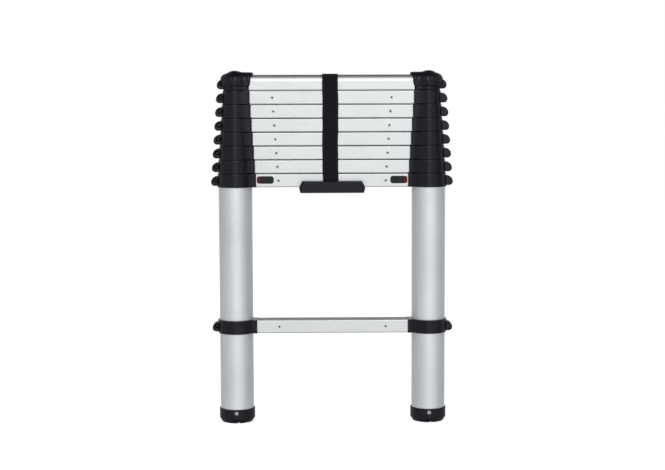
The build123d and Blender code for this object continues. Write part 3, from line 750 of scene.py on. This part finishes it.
thread, tree, shader = new_material("strap_thread")
link = tree.links.new
twist = node(tree, "TexNoise", Scale=2600.0, Detail=1.0)
link(node(tree, "TexCoord").outputs["Object"], twist.inputs["Vector"])
spun = tint(tree, twist.outputs["Fac"], (0.010, 0.010, 0.011), (0.034, 0.034, 0.036))
link(spun, shader.inputs["Base Color"])
link(ramp(tree, twist.outputs["Fac"], 0.42, 0.60), shader.inputs["Roughness"])

band, weave = strap_band()
strap = add_piece("carry_strap", [band], webbing, "section_8", {"weave": [weave]})
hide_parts("strap")
SEAM_FIRST = 16.0
SEAM_LAST = STRAP_LENGTH - 24.0
SEAM_STEP = 3.4
BOX_MIDDLE = STRAP_LENGTH - 11.5
BOX_HALF = 8.5
seam = np.arange(SEAM_FIRST, SEAM_LAST, SEAM_STEP)
box = BOX_MIDDLE + np.linspace(-BOX_HALF, BOX_HALF, 6)
bars = np.linspace(-SEAM_ASIDE, SEAM_ASIDE, 9)
sewing = []
for edge in (-SEAM_ASIDE, SEAM_ASIDE):
    sewing += stitches(seam, edge + 0.0 * seam, 0.0, 0.0)
    sewing += stitches(box, edge + 0.0 * box, 0.0, HEM_THICKNESS)
for end in (box[0], box[-1]):
    sewing += stitches(end + 0.0 * bars, bars, math.pi / 2, HEM_THICKNESS)
cross = np.linspace(-1.0, 1.0, 9)[1:-1]
for tilt in (-1.0, 1.0):
    lean = tilt * math.atan2(SEAM_ASIDE, BOX_HALF)
    sewing += stitches(BOX_MIDDLE + BOX_HALF * cross, tilt * SEAM_ASIDE * cross, lean, HEM_THICKNESS)
strap_sewing = add_piece("strap_sewing", sewing, thread, "section_8")


# Handle: a black moulded grip with six-sided ends, hung on the strap in front of the second rung.
# The strap goes in at the top through a slot with a raised lip.
grip = moulded("handle_grip", body=((0.0044, 0.0042, 0.0072), (0.0070, 0.0067, 0.0102)),
               rubbed=(0.016, 0.0155, 0.020), rough=(0.34, 0.46), pebble=1500.0, relief=0.0001,
               rounding=0.0007, gloss=0.26)
dress(grip, ["handle"])

HANDLE_TOP = corners("handle")[1, 2]
LIP_HALF_LENGTH = 13.5
LIP_DEPTH = -23.6
LIP_RADIUS = 1.25
LIP_FLATNESS = 0.9
LIP_SUNK = 0.35


def slot_lip():
    """A bead along the handle's top edge: a round profile carried along X and drawn to a point at each end."""
    x = np.linspace(-LIP_HALF_LENGTH, LIP_HALF_LENGTH, 60)[:, None]
    radius = LIP_RADIUS * np.sqrt(np.clip(1.0 - (x / LIP_HALF_LENGTH) ** 8, 0.0, None))
    turn = np.linspace(0.0, 2.0 * math.pi, 24, endpoint=False)
    return np.stack([STRAP_MIDDLE + x + 0.0 * turn, LIP_DEPTH + LIP_FLATNESS * radius * np.cos(turn),
                     HANDLE_TOP - LIP_SUNK + radius * np.sin(turn)], axis=-1)


add_piece("handle_lip", [slot_lip()], grip, "section_8")


# Studio: a white sweep of floor and background, soft lamps and the camera.
# The metal sees a soft gradient of light from the front, so the round tubes shade off to their sides.
FLOOR_HALF = 6.0
FLOOR_GLOW = 0.82
FLOOR_SHADE = (0.35, 0.35, 0.35, 1.0)
FLOOR_MATT = (0.8, 0.8, 0.8, 1.0)
floor_mesh = bpy.data.meshes.new("floor")
floor_mesh.from_pydata(
    [(-FLOOR_HALF, -FLOOR_HALF, 0), (FLOOR_HALF, -FLOOR_HALF, 0), (FLOOR_HALF, FLOOR_HALF, 0),
     (-FLOOR_HALF, FLOOR_HALF, 0)], [], [(0, 1, 2, 3)])
floor = bpy.data.objects.new("floor", floor_mesh)
bpy.context.scene.collection.objects.link(floor)
white, tree, shader = new_material("white_floor")
tree.nodes.remove(shader)
rays = node(tree, "LightPath")
seen = math_of(tree, "MAXIMUM", rays.outputs["Is Camera Ray"], rays.outputs["Is Glossy Ray"])
seen = math_of(tree, "MAXIMUM", seen, rays.outputs["Is Transmission Ray"])
matt = node(tree, "BsdfDiffuse", Color=FLOOR_MATT)
shade = node(tree, "BsdfDiffuse", Color=FLOOR_SHADE)
glow = node(tree, "Emission", Strength=FLOOR_GLOW)
both = node(tree, "AddShader")
tree.links.new(shade.outputs[0], both.inputs[0])
tree.links.new(glow.outputs[0], both.inputs[1])
mix = node(tree, "MixShader")
tree.links.new(seen, mix.inputs[0])
tree.links.new(matt.outputs[0], mix.inputs[1])
tree.links.new(both.outputs[0], mix.inputs[2])
tree.links.new(mix.outputs[0], tree.nodes["Material Output"].inputs["Surface"])
floor_mesh.materials.append(white)
floor.visible_glossy = False

# Each glow: the way it lies, where its edge and its core are, as cosines, and how bright it is.
AMBIENT = 0.40
DIFFUSE_LIGHT = 0.55
GLOWS = (
    ((0.45, -0.89, 0.0), 0.60, 1.00, 0.46),
    ((-0.45, -0.89, 0.0), 0.60, 1.00, 0.16),
    ((0.06, -0.99, 0.0), 0.95, 0.999, 0.62),
    ((-0.95, -0.25, 0.0), -0.10, 1.00, 0.22),
    ((0.98, -0.20, 0.0), -0.10, 1.00, 0.15),
    ((0.91, -0.42, 0.0), 0.93, 0.995, -0.34),
    ((0.0, 0.99, 0.0), 0.60, 1.00, 0.42),
    ((0.05, -0.84, 0.54), 0.89, 0.988, 2.30),
    ((0.0, 0.40, 0.92), 0.66, 0.95, -0.34),
    ((0.0, 0.0, -1.0), 0.78, 0.97, -0.32),
)
world = bpy.data.worlds.new("studio")
bpy.context.scene.world = world
world.use_nodes = True
tree = world.node_tree
back = tree.nodes["Background"]
back.inputs["Color"].default_value = (1, 1, 1, 1)
rays = node(tree, "LightPath")
direction = node(tree, "TexCoord")
total = AMBIENT
for towards, edge, core, level in GLOWS:
    facing = node(tree, "VectorMath", operation="DOT_PRODUCT")
    facing.inputs[1].default_value = Vector(towards).normalized()
    tree.links.new(direction.outputs["Generated"], facing.inputs[0])
    lobe = node(tree, "MapRange", interpolation_type="SMOOTHSTEP", From_Min=edge, From_Max=core,
                To_Min=0.0, To_Max=level)
    tree.links.new(facing.outputs["Value"], lobe.inputs["Value"])
    total = math_of(tree, "ADD", lobe.outputs["Result"], total)
mirrored = math_of(tree, "MAXIMUM", rays.outputs["Is Glossy Ray"], rays.outputs["Is Transmission Ray"])
in_metal = node(tree, "Mix", data_type="FLOAT")
in_metal.inputs[2].default_value = DIFFUSE_LIGHT
tree.links.new(mirrored, in_metal.inputs[0])
tree.links.new(total, in_metal.inputs[3])
behind = node(tree, "Mix", data_type="FLOAT")
behind.inputs[3].default_value = 1.0
tree.links.new(rays.outputs["Is Camera Ray"], behind.inputs[0])
tree.links.new(in_metal.outputs[0], behind.inputs[2])
tree.links.new(behind.outputs[0], back.inputs["Strength"])


def softbox(name, at, aim, size, watts):
    """A square area lamp at one point, turned to face another."""
    lamp = bpy.data.lights.new(name, "AREA")
    lamp.energy = watts
    lamp.size = size
    lamp_object = bpy.data.objects.new(name, lamp)
    lamp_object.location = at
    lamp_object.rotation_euler = (Vector(aim) - Vector(at)).to_track_quat("-Z", "Y").to_euler()
    bpy.context.scene.collection.objects.link(lamp_object)
    lamp_object.visible_glossy = False
    lamp_object.visible_camera = False


LADDER_MIDDLE = (0, 0, 0.4)
softbox("key", (1.1, -2.6, 2.2), LADDER_MIDDLE, size=1.6, watts=22)
softbox("fill", (-1.8, -2.2, 1.4), LADDER_MIDDLE, size=1.6, watts=10)
softbox("back", (-0.6, 2.6, 2.0), LADDER_MIDDLE, size=1.6, watts=12)

CAMERA_AT = (-0.0380, -3.069, 0.680)
CAMERA_PITCH = math.radians(5.488)
CAMERA_YAW = math.radians(-0.722)
CAMERA_ROLL = math.radians(-0.190)
CAMERA_LENS = 81.29
CAMERA_SENSOR = 36.0
camera_data = bpy.data.cameras.new("camera")
camera_data.lens = CAMERA_LENS
camera_data.sensor_width = CAMERA_SENSOR
camera_data.sensor_fit = "HORIZONTAL"
camera = bpy.data.objects.new("camera", camera_data)
camera.matrix_world = (Matrix.Translation(CAMERA_AT) @ Matrix.Rotation(CAMERA_YAW, 4, "Z")
                       @ Matrix.Rotation(math.pi / 2 - CAMERA_PITCH, 4, "X")
                       @ Matrix.Rotation(CAMERA_ROLL, 4, "Z"))
bpy.context.scene.collection.objects.link(camera)
bpy.context.scene.camera = camera
bpy.context.scene.view_settings.view_transform = "Standard"
